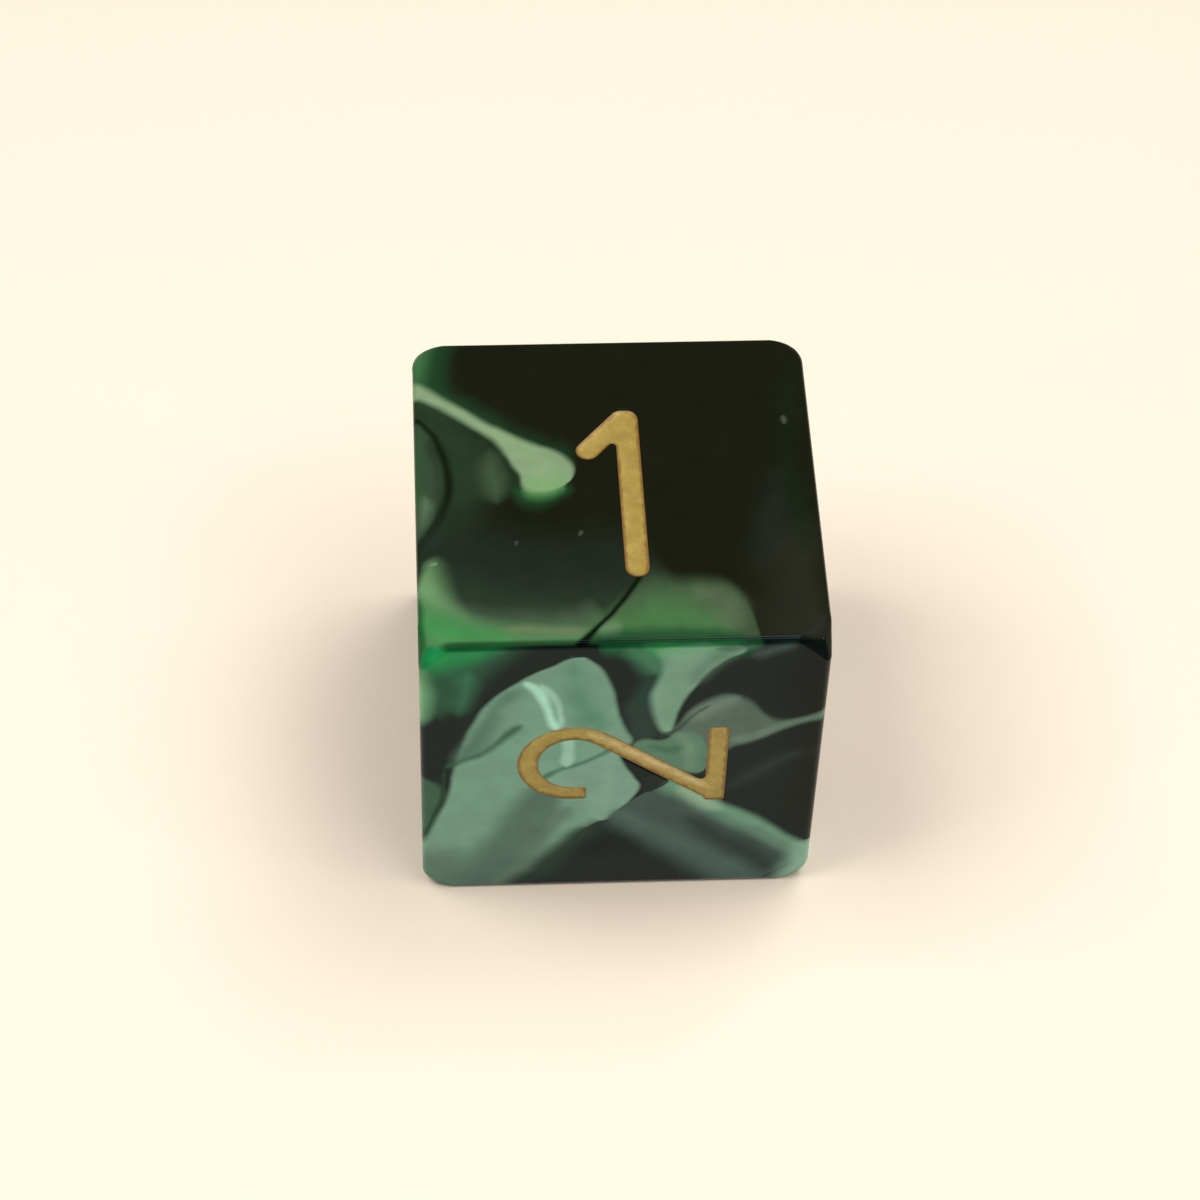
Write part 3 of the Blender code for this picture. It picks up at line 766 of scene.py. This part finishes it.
def evenly_spaced(loop, step):
    closed = np.vstack((loop, loop[:1]))
    lengths = np.r_[0.0, np.cumsum(np.linalg.norm(np.diff(closed, axis=0), axis=1))]
    places = np.linspace(0.0, lengths[-1], max(FEWEST_POINTS, round(lengths[-1] / step)) + 1)[:-1]
    return np.array([np.interp(places, lengths, closed[:, k]) for k in (0, 1)]).T


class Outline:
    """A numeral's outline, with its inner corners filled to a round of radius CROTCH_ROUND.

    Filling works from a guard line, CROTCH_ROUND outside the strokes: the outline is whatever
    lies that far inside the guard line.
    """

    def __init__(self, number):
        strokes, _, _, width, cut = NUMERALS[number]
        self.axis = np.arange(-PLATE, PLATE + SEARCH_STEP, SEARCH_STEP)
        grid = np.array(np.meshgrid(self.axis, self.axis, indexing="ij")).reshape(2, -1).T
        nearest = np.min([stroke_distance(grid, stroke, width / 2, cut) for stroke in strokes()], axis=0)
        self.values = nearest.reshape(len(self.axis), -1)
        guard = traced_loops(self.values - CROTCH_ROUND, self.axis)
        guard = [evenly_spaced(loop, GUARD_STEP) for loop in guard]
        self.guard = [np.vstack(guard), np.vstack([np.roll(loop, -1, axis=0) for loop in guard])]

    def distance(self, points):
        """The distance of points outside the outline, negative inside it."""
        return CROTCH_ROUND - line_distances(points, *self.guard).min(axis=1)

    def slope(self, points):
        """The direction in which the distance grows, as unit vectors."""
        slopes = []
        for step in np.eye(2) * SLOPE_STEP:
            slopes.append(self.distance(points + step) - self.distance(points - step))
        slopes = np.array(slopes).T
        return slopes / np.maximum(np.linalg.norm(slopes, axis=1), NO_SLOPE)[:, None]

    def rings(self, level):
        """The closed curves at a distance from the outline, with the numeral on their left."""
        found = []
        for loop in traced_loops(self.values - level, self.axis):
            for _ in range(RING_ROUNDS):
                loop = evenly_spaced(loop, RING_STEP)
                loop = loop - (self.distance(loop) - level)[:, None] * self.slope(loop)
            ahead, slope = np.roll(loop, -1, axis=0) - loop, self.slope(loop)
            if np.sum(ahead[:, 0] * slope[:, 1] - ahead[:, 1] * slope[:, 0]) > 0:
                loop = loop[::-1]
            found.append(loop)
        return found


def triangulated(borders, creases=()):
    """Triangles where the borders enclose a place an odd number of times, with edges along every loop."""
    corners, loops = np.vstack([*borders, *creases]), []
    for loop in [*borders, *creases]:
        start = sum(len(other) for other in loops)
        loops.append(list(range(start, start + len(loop))))
    edges = [(a, b) for loop in loops[len(borders) :] for a, b in zip(loop, loop[1:] + loop[:1])]
    regions = []
    for loop, border in zip(loops, borders):
        ahead = np.roll(border, -1, axis=0)
        area = np.sum(border[:, 0] * ahead[:, 1] - border[:, 1] * ahead[:, 0])
        regions.append(loop if area > 0 else loop[::-1])
    places = [Vector(p) for p in corners]
    found = delaunay_2d_cdt(places, edges, regions, ALL_TRIANGLES, WELD, True)
    places, _, faces, origins, _, owners = found
    points = [corners[origin[0]] if origin else tuple(p) for p, origin in zip(places, origins)]
    return np.array(points), [face for face, within in zip(faces, owners) if len(within) % 2]


class Patchwork:
    """Collects points, normals and faces, and welds them into one mesh."""

    def __init__(self):
        self.points, self.normals, self.faces = [], [], []
        self.count = 0

    def add(self, points, normals, faces):
        self.points.append(np.asarray(points, float))
        self.normals.append(np.broadcast_to(normals, np.shape(points)))
        self.faces += [[self.count + i for i in face] for face in faces]
        self.count += len(points)

    def mesh(self, name):
        points, normals = np.vstack(self.points), np.vstack(self.normals)
        keys = np.round(points / WELD_CELL).astype(np.int64)
        _, first, index = np.unique(keys, axis=0, return_index=True, return_inverse=True)
        index = index.reshape(-1)
        faces = [[int(index[i]) for i in face] for face in self.faces]
        faces = [face for face in faces if len(set(face)) == len(face)]
        made = bpy.data.meshes.new(name)
        made.from_pydata(points[first] * MM + np.array(MIDDLE), [], faces)
        made.update()
        made.shade_smooth()
        made.normals_split_custom_set_from_vertices([tuple(n) for n in normals[first]])
        return made


def band(outer, inner):
    """Quads between two rings of as many points, the outer one first."""
    count = len(outer)
    ahead = [(i + 1) % count for i in range(count)]
    return [(i, ahead[i], count + ahead[i], count + i) for i in range(count)]


# The block


def block_excess(points):
    """Negative inside the block, 0 on its surface and positive outside."""
    beyond = np.abs(points) - (HALF - EDGE_ROUND)
    edges = np.linalg.norm(np.maximum(beyond, 0.0), axis=1) - EDGE_ROUND
    edges = edges + np.minimum(beyond.max(axis=1), 0.0)
    ball = np.linalg.norm(points, axis=1) - CORNER_BALL
    near = np.maximum(np.array((edges, ball)) + CREASE_ROUND, 0.0)
    return np.minimum(np.maximum(edges, ball), -CREASE_ROUND) + np.linalg.norm(near, axis=0)


def drawn_in(points):
    """Points of the sharp cube, drawn towards its middle until they lie on the block."""
    inner, outer = np.full(len(points), 0.5), np.ones(len(points))
    for _ in range(HALVINGS):
        share = (inner + outer) / 2
        outside = block_excess(points * share[:, None]) > 0
        outer = np.where(outside, share, outer)
        inner = np.where(outside, inner, share)
    return points * inner[:, None]


def block_normals(points):
    slopes = []
    for step in np.eye(3) * SLOPE_STEP:
        slopes.append(block_excess(points + step) - block_excess(points - step))
    slopes = np.array(slopes).T
    return slopes / np.linalg.norm(slopes, axis=1)[:, None]


def grid_lines():
    """Where the lines of a face's grid lie, from one edge of the face to the other."""
    half, start = [0.0], 0.0
    for end, step in GRID_SPANS:
        steps = round((end - start) / step)
        half += [start + (end - start) * (i + 1) / steps for i in range(steps)]
        start = end
    return np.array([-x for x in half[:0:-1]] + half)


def add_rim(block, axes, lines):
    """A face's grid outside the square that holds its numeral, with its share of edges and corners."""
    u, v = np.meshgrid(lines, lines, indexing="ij")
    flat = np.stack((u, v, np.full_like(u, HALF)), axis=-1).reshape(-1, 3)
    points = drawn_in(flat @ axes)
    count = len(lines)
    faces = []
    for i in range(count - 1):
        for j in range(count - 1):
            middle = max(abs(lines[i] + lines[i + 1]), abs(lines[j] + lines[j + 1])) / 2
            if middle > PLATE:
                corner = i * count + j
                faces.append((corner, corner + count, corner + count + 1, corner + 1))
    block.add(points, block_normals(points), faces)


def add_plate(block, outline, axes, lines):
    """A face's flat square, with the groove of its numeral."""

    def raised(points, height):
        return np.column_stack((points, np.full(len(points), HALF + height))) @ axes

    side = lines[np.abs(lines) < PLATE + WELD]
    square = [(x, -PLATE) for x in side[:-1]] + [(PLATE, y) for y in side[:-1]]
    square += [(-x, PLATE) for x in side[:-1]] + [(-PLATE, -y) for y in side[:-1]]
    edge = outline.rings(0.0)
    slopes = [outline.slope(loop) for loop in edge]
    steps = [(LIP_ROUND + LIP_MARGIN, 0.0, 0.0)]
    for angle in np.radians(LIP_ANGLES):
        steps.append((LIP_ROUND * (1 - math.sin(angle)), -LIP_ROUND * (1 - math.cos(angle)), angle))
    steps.append((-WALL_LEAN, -GROOVE_DEPTH, math.radians(LIP_ANGLES[-1])))

    outer = [loop + slope * steps[0][0] for loop, slope in zip(edge, slopes)]
    points, faces = triangulated([np.array(square)] + outer)
    block.add(raised(points, 0.0), axes[2], faces)
    for loop, slope in zip(edge, slopes):
        for (out, height, tilt), (out_next, height_next, tilt_next) in zip(steps, steps[1:]):
            pair = [raised(loop + slope * out, height), raised(loop + slope * out_next, height_next)]
            tilts = [math.cos(t) * axes[2] - math.sin(t) * slope @ axes[:2] for t in (tilt, tilt_next)]
            block.add(np.vstack(pair), np.vstack(tilts), band(*pair))
    foot = [loop - slope * WALL_LEAN for loop, slope in zip(edge, slopes)]
    points, faces = triangulated(foot)
    block.add(raised(points, -GROOVE_DEPTH), axes[2], faces)


def resin_block(outlines):
    block = Patchwork()
    lines = grid_lines()
    for number in NUMERALS:
        axes = face_axes(number)
        add_rim(block, axes, lines)
        add_plate(block, outlines[number], axes, lines)
    return block.mesh("swirled_block")


# The paint


def paint_fill(number, outline):
    axes = face_axes(number)

    def placed(points, heights):
        return np.column_stack((points, HALF + heights)) @ axes

    def surface(points):
        inward = np.maximum(-outline.distance(points), 0.0)
        rise = np.exp(-inward / PAINT_CREEP)
        scaled = points * RIPPLES_PER_MM
        ripple = np.array([noise.noise(Vector((x, y, number * RIPPLE_SHIFT))) for x, y in scaled])
        heights = PAINT_MIDDLE + (PAINT_EDGE - PAINT_MIDDLE) * rise
        return heights + RIPPLE_HEIGHT * ripple * (1 - rise)

    fill = Patchwork()
    edge = outline.rings(PAINT_REACH)
    inner = [loop for level in PAINT_RINGS for loop in outline.rings(level)]
    points, faces = triangulated(edge, inner)
    heights = surface(points)
    slopes = []
    for step in np.eye(2) * PAINT_SLOPE_STEP:
        slopes.append((surface(points + step) - surface(points - step)) / PAINT_SLOPE_STEP / 2)
    tilt = np.column_stack((-slopes[0], -slopes[1], np.ones(len(points)))) @ axes
    fill.add(placed(points, heights), tilt / np.linalg.norm(tilt, axis=1)[:, None], faces)
    for loop in edge:
        outward = outline.slope(loop) @ axes[:2]
        pair = [placed(loop, np.full(len(loop), PAINT_FLOOR)), placed(loop, surface(loop))]
        fill.add(np.vstack(pair), np.vstack((outward, outward)), band(*pair))
    points, faces = triangulated(edge)
    floor = placed(points, np.full(len(points), PAINT_FLOOR))
    fill.add(floor, -axes[2], [face[::-1] for face in faces])
    made = fill.mesh(f"numeral_{number}_fill")
    places = np.array([(v.co - MIDDLE) / MM for v in made.vertices]) @ axes.T
    inland = np.maximum(-outline.distance(places[:, :2]), 0.0)
    made.attributes.new("inland", "FLOAT", "POINT").data.foreach_set("value", inland)
    return made


# Materials


class Graph:
    """Adds nodes to a material, taking sockets and plain values alike as their inputs."""

    def __init__(self, name):
        self.material = bpy.data.materials.new(name)
        self.material.use_nodes = True
        self.tree = self.material.node_tree
        self.tree.nodes.clear()
        metres = self.add("ShaderNodeTexCoord").outputs["Object"]
        centred = self.vector("SUBTRACT", metres, tuple(MIDDLE))
        self.place = self.vector("DIVIDE", centred, (MM, MM, MM))

    def add(self, kind, inputs=(), **settings):
        node = self.tree.nodes.new(kind)
        for name, value in settings.items():
            setattr(node, name, value)
        for key, value in dict(inputs).items():
            if isinstance(value, bpy.types.NodeSocket):
                self.tree.links.new(value, node.inputs[key])
            else:
                node.inputs[key].default_value = value
        return node

    def math(self, operation, *values):
        return self.add("ShaderNodeMath", enumerate(values), operation=operation).outputs[0]

    def vector(self, operation, *values):
        return self.add("ShaderNodeVectorMath", enumerate(values), operation=operation).outputs[0]

    def along(self, vector, way):
        """How far a point lies along a direction."""
        inputs = {0: vector, 1: tuple(way)}
        return self.add("ShaderNodeVectorMath", inputs, operation="DOT_PRODUCT").outputs["Value"]

    def on_line(self, spot, turn):
        """How far a spot (u, v, 1) lies along and across a turned line, as shares of SPAN."""
        c, s = turn_shares(turn)
        return self.along(spot, (c, s, 0.5)), self.along(spot, (-s, c, 0.5))

    def scaled(self, vector, share):
        inputs = {0: vector, "Scale": share}
        return self.add("ShaderNodeVectorMath", inputs, operation="SCALE").outputs[0]

    def step(self, value, start, end, low=0.0, high=1.0):
        """Rises smoothly from low to high while the value goes from start to end."""
        inputs = {0: value, 1: start, 2: end, 3: low, 4: high}
        return self.add("ShaderNodeMapRange", inputs, interpolation_type="SMOOTHSTEP").outputs[0]

    def noise(self, vector, size, detail=2.0, roughness=0.5, output=0):
        inputs = {"Vector": vector, "Scale": 1.0 / size, "Detail": detail, "Roughness": roughness}
        return self.add("ShaderNodeTexNoise", inputs).outputs[output]

    def mix(self, share, first, second, blend="MIX"):
        inputs = {0: share, 6: first, 7: second}
        return self.add("ShaderNodeMix", inputs, data_type="RGBA", blend_type=blend).outputs[2]

    def ramp(self, value, stops):
        node = self.add("ShaderNodeValToRGB", {0: value})
        elements = node.color_ramp.elements
        for _ in stops[2:]:
            elements.new(0.5)
        for element, (position, colour) in zip(elements, stops):
            element.position = position
            element.color = colour
        return node.outputs[0]

    def curve(self, value, points):
        """A smooth curve through points, whose first and last stretches are straight."""
        node = self.add("ShaderNodeFloatCurve", {1: value})
        curve = node.mapping.curves[0]
        for _ in points[2:]:
            curve.points.new(0.5, 0.5)
        for point, place in zip(curve.points, points):
            point.location = place
        for point in (*list(curve.points)[:2], *list(curve.points)[-2:]):
            point.handle_type = "VECTOR"
        node.mapping.update()
        return node.outputs[0]

    def surface(self, **inputs):
        values = {key.replace("_", " ").title().replace("Ior", "IOR"): v for key, v in inputs.items()}
        shader = self.add("ShaderNodeBsdfPrincipled", values).outputs[0]
        self.add("ShaderNodeOutputMaterial", {0: shader})
        return self.material


def linear(colour):
    parts = [c / 255 for c in colour]
    return [c / 12.92 if c <= 0.04045 else ((c + 0.055) / 1.055) ** 2.4 for c in parts]


def albedo(colour, face):
    """The albedo of what looks like an 8-bit colour on a face that has this light and sheen."""
    return (*[min(max((c - s) / l, DARKEST), 1.0) for c, l, s in zip(linear(colour), *face)], 1.0)


def turn_shares(turn):
    """The cosine and sine of a turn in degrees, as shares of SPAN."""
    return math.cos(math.radians(turn)) / SPAN, math.sin(math.radians(turn)) / SPAN


def turned(points, turn):
    """Points by how far they lie along and across a line turned from the u axis, as shares of SPAN."""
    c, s = turn_shares(turn)
    return [(u * c + v * s + 0.5, v * c - u * s + 0.5, *rest) for u, v, *rest in points]


def border(points, turn, ends, reach):
    """A curve's points for a border, which moves off by reach beyond both its ends."""
    points = sorted((s, t) for s, t in turned(points, turn))
    (first, start), (last, end) = points[0], points[-1]
    close = ends / SPAN
    lead = [(0.0, start + reach), (first - close, start + reach)]
    return [*lead, *points, (last + close, end + reach), (1.0, end + reach)]


def layered(graph, spot, base, layers, face):
    """The colour of a face at a spot (u, v, 1), layer over layer."""
    colour = albedo(base, face)
    for layer in layers:
        colour = graph.mix(layer.mask(graph, spot), colour, albedo(layer.colour, face))
    return colour


def split(graph, vector):
    return graph.add("ShaderNodeSeparateXYZ", {0: vector}).outputs


def joined(graph, x, y, z):
    return graph.add("ShaderNodeCombineXYZ", {0: x, 1: y, 2: z}).outputs[0]


def centred_noise(graph, vector, size, reach, detail=2.0):
    """A vector of smooth noise, up to about reach long."""
    noise_colour = graph.noise(vector, size, detail, output=1)
    return graph.scaled(graph.vector("SUBTRACT", noise_colour, (0.5, 0.5, 0.5)), 2 * reach)


def marbled(graph):
    """Folded swirls through the whole block: each fold is sharp on one side and soft on the other."""
    bent = graph.vector("ADD", graph.place, centred_noise(graph, graph.place, *COARSE_BEND))
    bent = graph.vector("ADD", bent, centred_noise(graph, bent, *FINE_BEND))
    fold = graph.math("FRACT", graph.math("ADD", graph.along(bent, FOLD_WAY), FOLD_SHIFT))
    colour = graph.ramp(fold, FOLD_STOPS)
    other = graph.math("FRACT", graph.math("ADD", graph.along(bent, VEIL_WAY), VEIL_SHIFT))
    veil = graph.ramp(other, [(place, (share, share, share, 1.0)) for place, share in VEIL_STOPS])
    patchy = graph.noise(graph.vector("ADD", graph.place, VEIL_BREAKS_SHIFT), *VEIL_BREAKS)
    veil = graph.math("MULTIPLY", veil, graph.step(patchy, *VEIL_BREAKS_RISE))
    colour = graph.mix(veil, colour, PALE)
    line = graph.math("FRACT", graph.along(bent, LINE_WAY))
    line = graph.math("ABSOLUTE", graph.math("SUBTRACT", line, 0.5))
    return graph.mix(graph.step(line, *LINE_FALL), colour, LINE_COLOUR)


def swirled_resin():
    graph = Graph("swirled_resin")
    place = graph.place
    x, y, z = split(graph, place)
    wander = centred_noise(graph, place, *WANDER)
    drift = centred_noise(graph, place, *DRIFT)
    under_top = graph.step(z, HALF, HALF - SWIRL_DEPTH)
    behind_front = graph.step(y, -HALF, SWIRL_DEPTH - HALF)

    wandered = graph.vector("ADD", place, wander)
    u, v, _ = split(graph, graph.vector("ADD", wandered, graph.scaled(drift, under_top)))
    top = layered(graph, joined(graph, u, v, 1.0), TOP_BASE, TOP_LAYERS, TOP_FACE)
    u, _, v = split(graph, graph.vector("ADD", wandered, graph.scaled(drift, behind_front)))
    front = layered(graph, joined(graph, u, v, 1.0), FRONT_BASE, FRONT_LAYERS, FRONT_FACE)

    aside = graph.math("ABSOLUTE", x)
    on_front = graph.math("MAXIMUM", aside, z)
    on_front = graph.math("SUBTRACT", graph.math("MULTIPLY", y, -1.0), on_front)
    on_top = graph.math("MAXIMUM", aside, graph.math("ABSOLUTE", y))
    on_top = graph.math("SUBTRACT", z, on_top)
    near_front = graph.step(behind_front, FADED, 0.0)
    near_front = graph.math("MULTIPLY", near_front, graph.step(on_top, EDGE_BLEND, -EDGE_BLEND))
    near_front = graph.math("MULTIPLY", near_front, graph.step(under_top, *FRONT_RISE))
    share = graph.math("MAXIMUM", graph.step(on_front, -EDGE_BLEND, EDGE_BLEND), near_front)
    colour = graph.mix(graph.step(under_top, FADED, 0.0), marbled(graph), top)
    colour = graph.mix(share, colour, front)

    # Painted shade: a darker line along the edge between the top and the front.
    painted_edge_shade = graph.math("ADD", graph.math("SUBTRACT", HALF, z), graph.math("ADD", y, HALF))
    painted_edge_shade = graph.step(painted_edge_shade, PAINTED_EDGE_SHADE_WIDTH, PAINTED_EDGE_SHADE_WIDTH / 2, 0.0, PAINTED_EDGE_SHADE_STRENGTH)
    colour = graph.mix(painted_edge_shade, colour, PAINTED_EDGE_SHADE, "MULTIPLY")
    mottle = graph.noise(graph.vector("ADD", place, graph.scaled(wander, MOTTLE_WANDER)), *MOTTLE)
    mottle = graph.step(mottle, *MOTTLE_SHADES)
    colour = graph.mix(1.0, colour, joined(graph, mottle, mottle, mottle), "MULTIPLY")

    normal = graph.add("ShaderNodeNewGeometry").outputs["Normal"]
    x, y, z = split(graph, graph.vector("ABSOLUTE", normal))
    least = graph.math("MINIMUM", x, graph.math("MINIMUM", y, z))
    steepest = graph.math("MAXIMUM", x, graph.math("MAXIMUM", y, z))
    worn = graph.math("MULTIPLY", graph.step(least, *WORN_LEAST), graph.step(steepest, *WORN_STEEPEST))
    return graph.surface(
        base_color=colour,
        roughness=graph.step(worn, 0.0, 1.0, *RESIN_ROUGHNESS),
        ior=1.5,
        specular_ior_level=graph.step(worn, 0.0, 1.0, *RESIN_SPECULAR),
        specular_tint=RESIN_TINT,
    )


def gold_paint():
    graph = Graph("gold_paint")
    place = graph.place
    x, y, z = split(graph, place)
    inland = graph.add("ShaderNodeAttribute", attribute_name="inland").outputs["Fac"]
    cloud = graph.step(graph.noise(place, *GOLD_CLOUD), *GOLD_CLOUD_RISE)
    colour = graph.mix(cloud, GOLD, PALE_GOLD)
    # Painted light on the front face's numeral: its paint is made lighter and bluer.
    on_front = graph.step(y, *FRONT_PAINT)
    colour = graph.mix(on_front, colour, FRONT_PAINT_PAINTED_LIGHT, "MULTIPLY")

    flakes = graph.add("ShaderNodeTexVoronoi", {"Vector": place, "Scale": 1 / FLAKE_SIZE})
    glitter = graph.along(flakes.outputs["Color"], FLAKE_WAY)
    colour = graph.mix(graph.step(glitter, *FLAKE_RISE), colour, FLAKE_COLOUR)
    # A painted highlight down the 2's diagonal, on the front face only, broken up by a grain.
    painted_highlight = PAINTED_HIGHLIGHT_ON_TWO.mask(graph, joined(graph, x, z, 1.0))
    painted_highlight = graph.math("MULTIPLY", painted_highlight, on_front)
    grainy = graph.step(graph.noise(place, *PAINTED_HIGHLIGHT_GRAIN), *PAINTED_HIGHLIGHT_GRAIN_RISE)
    colour = graph.mix(graph.math("MULTIPLY", painted_highlight, grainy), colour, PAINTED_HIGHLIGHT_COLOUR)

    # A darker, browner rim along the walls: partly thinner paint, partly painted shade from the wall.
    thin_paint_and_shade = graph.step(graph.noise(place, *SHORE_WANDER), *SHORE_WANDER_RISE)
    thin_paint_and_shade = graph.math("ADD", inland, thin_paint_and_shade)
    colour = graph.mix(graph.step(thin_paint_and_shade, *SHORE_FALL), colour, THIN_PAINT_AND_SHADE_COLOUR)
    grain = graph.math("ADD", graph.noise(place, *GRAIN), graph.math("MULTIPLY", glitter, FLAKE_GRAIN))
    bump = {"Strength": GRAIN_STRENGTH, "Distance": GRAIN_HEIGHT * MM, "Height": grain}
    return graph.surface(
        base_color=colour,
        metallic=0.2,
        roughness=graph.step(glitter, *PAINT_ROUGHNESS),
        normal=graph.add("ShaderNodeBump", bump).outputs[0],
    )


# The scene


def show(mesh, node, material):
    piece = bpy.data.objects.new(mesh.name, mesh)
    mesh.materials.append(material)
    bpy.context.scene.collection.objects.link(piece)
    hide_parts(node)
    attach(piece, "root")


def heading(azimuth, elevation):
    """The direction from the die towards a place seen at this azimuth and elevation, in degrees."""
    azimuth, elevation = math.radians(azimuth), math.radians(elevation)
    across = math.cos(elevation)
    return Vector((math.sin(azimuth) * across, -math.cos(azimuth) * across, math.sin(elevation)))


def placed(thing, name, matrix):
    made = bpy.data.objects.new(name, thing)
    made.matrix_world = matrix
    bpy.context.scene.collection.objects.link(made)
    return made


def facing(back, roll=0.0):
    """A turn whose z axis is back, with its x axis level but for a roll in degrees."""
    right = Vector((0.0, 0.0, 1.0)).cross(back).normalized()
    up = back.cross(right)
    return Matrix((right, up, back)).transposed().to_4x4() @ Matrix.Rotation(math.radians(roll), 4, "Z")


def add_camera():
    turn = facing(heading(CAMERA_AZIMUTH, CAMERA_ELEVATION), CAMERA_ROLL)
    camera = bpy.data.cameras.new("camera")
    camera.lens = CAMERA_LENS
    camera.sensor_width = 36.0
    camera.clip_start = 0.001
    place = Matrix.Translation(MIDDLE) @ turn @ Matrix.Translation(Vector(CAMERA_PLACE) * MM)
    bpy.context.scene.camera = placed(camera, "camera", place)


def add_softbox(name, azimuth, elevation, size, power):
    lamp = bpy.data.lights.new(name, "AREA")
    lamp.size = size
    lamp.energy = power
    back = heading(azimuth, elevation)
    place = Matrix.Translation(MIDDLE + back * LIGHT_DISTANCE)
    softbox = placed(lamp, name, place @ facing(back))
    softbox.visible_camera = False


def add_floor():
    corners = [(x * FLOOR_HALF, y * FLOOR_HALF, 0) for x, y in ((-1, -1), (1, -1), (1, 1), (-1, 1))]
    mesh = bpy.data.meshes.new("floor")
    mesh.from_pydata(corners, [], [(0, 1, 2, 3)])
    graph = Graph("floor_paper")
    mesh.materials.append(graph.surface(base_color=FLOOR_COLOUR, roughness=0.7))
    placed(mesh, "floor", Matrix.Identity(4))


def add_world():
    world = bpy.data.worlds.new("room")
    world.use_nodes = True
    background = world.node_tree.nodes["Background"]
    background.inputs["Color"].default_value = ROOM_COLOUR
    background.inputs["Strength"].default_value = ROOM_STRENGTH
    bpy.context.scene.world = world


outlines = {number: Outline(number) for number in NUMERALS}
show(resin_block(outlines), "resin_body", swirled_resin())
gold = gold_paint()
for number, outline in outlines.items():
    show(paint_fill(number, outline), f"numeral_{number}_paint", gold)
add_floor()
for softbox in SOFTBOXES:
    add_softbox(*softbox)
add_world()
add_camera()
bpy.context.scene.view_settings.view_transform = "Standard"
